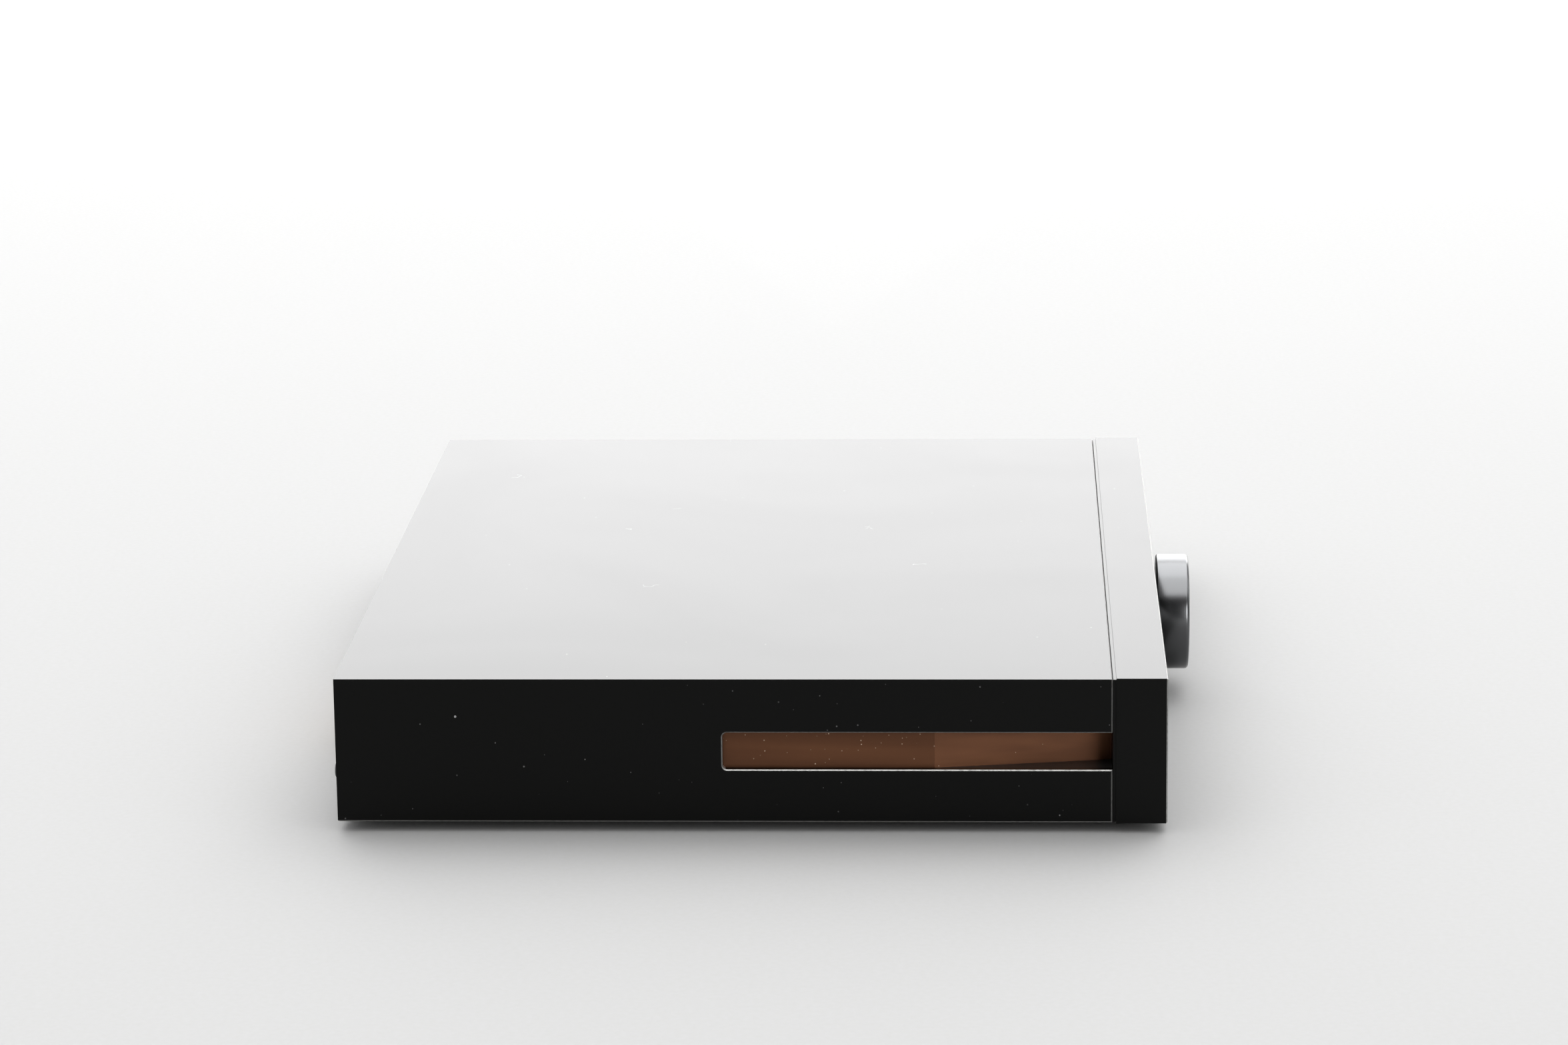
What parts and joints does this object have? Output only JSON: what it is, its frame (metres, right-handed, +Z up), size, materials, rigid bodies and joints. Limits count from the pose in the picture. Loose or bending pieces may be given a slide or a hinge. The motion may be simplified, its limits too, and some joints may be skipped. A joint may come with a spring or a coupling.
{
  "type": "cd player",
  "caption": "Slim slot-loading disc player in a black anodised case with a thick front panel, a centre knob, side slots with copper-brown strips and rear audio sockets.",
  "frame": {"origin": "centre of the underside, on the surface that the feet stand on", "axes": "+Z up, front panel and knob face -Y, +X to the right seen from the front"},
  "size_m": [0.3006, 0.252, 0.0443],
  "materials": {
    "black_anodised": "satin black anodised, fine bead-blasted grain",
    "copper_anodised": "brown copper anodised, brushed",
    "dark_steel": "fine-textured black powder coat",
    "zinc_steel": "zinc-plated sheet",
    "bright_steel": "ground and polished",
    "black_plastic": "moulded, fine grain",
    "grey_plastic": "moulded",
    "white_plastic": "moulded",
    "smoked_window": "polished smoked acrylic",
    "foot_rubber": "moulded grey-black",
    "black_felt": "short nap",
    "circuit_board": "solder resist over glass fibre",
    "gold_plate": "gold plated",
    "chip_black": "epoxy",
    "can_sleeve": "sleeved can",
    "tape_wound": "wound ring under polyester tape",
    "lens_clear": "moulded objective in its holder"
  },
  "bodies": {
    "casing": {"audio_capacitors": "can_sleeve", "audio_chips": "chip_black", "base_plate": "dark_steel", "case_screws": "dark_steel", "contact_pins": "gold_plate", "control_board": "circuit_board", "display_module": "black_plastic", "display_window": "smoked_window", "drive_chassis": "zinc_steel", "drive_cover": "zinc_steel", "drive_dampers": "foot_rubber", "drive_screws": "bright_steel", "encoder_body": "zinc_steel", "encoder_nut": "bright_steel", "feet": "foot_rubber", "front_panel": "black_anodised", "heatsink": "black_anodised", "left_inlay": "copper_anodised", "left_inlay_carrier": "black_plastic", "load_motor": "zinc_steel", "main_board": "circuit_board", "mains_inlet": "black_plastic", "optical_socket": "black_plastic", "power_board": "circuit_board", "power_capacitors": "can_sleeve", "rca_barrels": "gold_plate", "rca_bodies": "white_plastic", "rear_panel": "black_anodised", "rear_screws": "dark_steel", "ribbon_cables": "grey_plastic", "right_inlay": "copper_anodised", "right_inlay_carrier": "black_plastic", "rocker_housing": "black_plastic", "slot_felts": "black_felt", "standoffs": "bright_steel", "top_cover": "black_anodised", "transformer": "tape_wound", "transformer_clamp": "zinc_steel", "xlr_sockets": "black_plastic"},
    "encoder_press": {"encoder_plunger": "white_plastic"},
    "knob": {"knob": "black_anodised", "encoder_shaft": "bright_steel", "knob_grub_screw": "bright_steel"},
    "eject_button": {"eject_button": "black_anodised"},
    "standby_button": {"standby_button": "black_anodised"},
    "power_rocker": {"power_rocker": "black_plastic"},
    "fuse_drawer": {"fuse_drawer": "black_plastic", "fuse": "lens_clear"},
    "optical_shutter": {"optical_shutter": "grey_plastic"},
    "traverse": {"traverse_frame": "black_plastic", "spindle_motor": "zinc_steel", "guide_rods": "bright_steel", "sled_motor": "zinc_steel"},
    "turntable": {"turntable": "black_plastic"},
    "sled": {"pickup_sled": "grey_plastic"},
    "lens": {"lens": "lens_clear"},
    "lead_screw": {"lead_screw": "white_plastic"},
    "roller": {"load_gear": "white_plastic", "load_roller": "foot_rubber"},
    "load_pinion": {"load_pinion": "white_plastic"}
  },
  "joints": [
    {"name": "knob_press", "type": "slide", "parent": "casing", "child": "encoder_press", "axis": [0, 1, 0], "range_m": [0, 0.0008], "stiffness_N_per_m": 2000, "springref_m": -0.0005},
    {"name": "knob_turn", "type": "hinge", "parent": "encoder_press", "child": "knob", "pos_m": [0, -0.12, 0.024], "axis": [0, -1, 0], "continuous": true},
    {"name": "eject_press", "type": "slide", "parent": "casing", "child": "eject_button", "axis": [0, 1, 0], "range_m": [0, 0.0008], "stiffness_N_per_m": 900, "springref_m": -0.0005},
    {"name": "standby_press", "type": "slide", "parent": "casing", "child": "standby_button", "axis": [0, 1, 0], "range_m": [0, 0.0008], "stiffness_N_per_m": 900, "springref_m": -0.0005},
    {"name": "power_rock", "type": "hinge", "parent": "casing", "child": "power_rocker", "pos_m": [0.084, 0.112, 0.0235], "axis": [1, 0, 0], "range_deg": [0, 18]},
    {"name": "fuse_drawer_slide", "type": "slide", "parent": "casing", "child": "fuse_drawer", "axis": [0, 1, 0], "range_m": [0, 0.022]},
    {"name": "shutter_swing", "type": "hinge", "parent": "casing", "child": "optical_shutter", "pos_m": [0.018, 0.116, 0.0271], "axis": [-1, 0, 0], "range_deg": [0, 80], "stiffness_Nm_per_rad": 0.00012, "springref_deg": -22.92},
    {"name": "traverse_lift", "type": "slide", "parent": "casing", "child": "traverse", "axis": [0, 0, 1], "range_m": [0, 0.0036]},
    {"name": "turntable_spin", "type": "hinge", "parent": "traverse", "child": "turntable", "pos_m": [-0.082, -0.033, 0.029], "axis": [0, 0, -1], "continuous": true},
    {"name": "sled_travel", "type": "slide", "parent": "traverse", "child": "sled", "axis": [0, 1, 0], "range_m": [0, 0.029]},
    {"name": "lead_screw_turn", "type": "hinge", "parent": "traverse", "child": "lead_screw", "pos_m": [-0.059, 0, 0.0178], "axis": [0, 1, 0], "range_deg": [0, 3481]},
    {"name": "lens_focus", "type": "slide", "parent": "sled", "child": "lens", "axis": [0, 0, 1], "range_m": [-0.0004, 0.0004], "stiffness_N_per_m": 60},
    {"name": "roller_spin", "type": "hinge", "parent": "casing", "child": "roller", "pos_m": [-0.082, -0.088, 0.0299], "axis": [1, 0, 0], "continuous": true},
    {"name": "load_pinion_spin", "type": "hinge", "parent": "casing", "child": "load_pinion", "pos_m": [-0.018, -0.082, 0.02222], "axis": [1, 0, 0], "continuous": true}
  ],
  "couplings": [
    {"joint": "lead_screw_turn", "follows": "sled_travel", "rad_per_m": 2094.4},
    {"joint": "load_pinion_spin", "follows": "roller_spin", "ratio": -2.2}
  ]
}
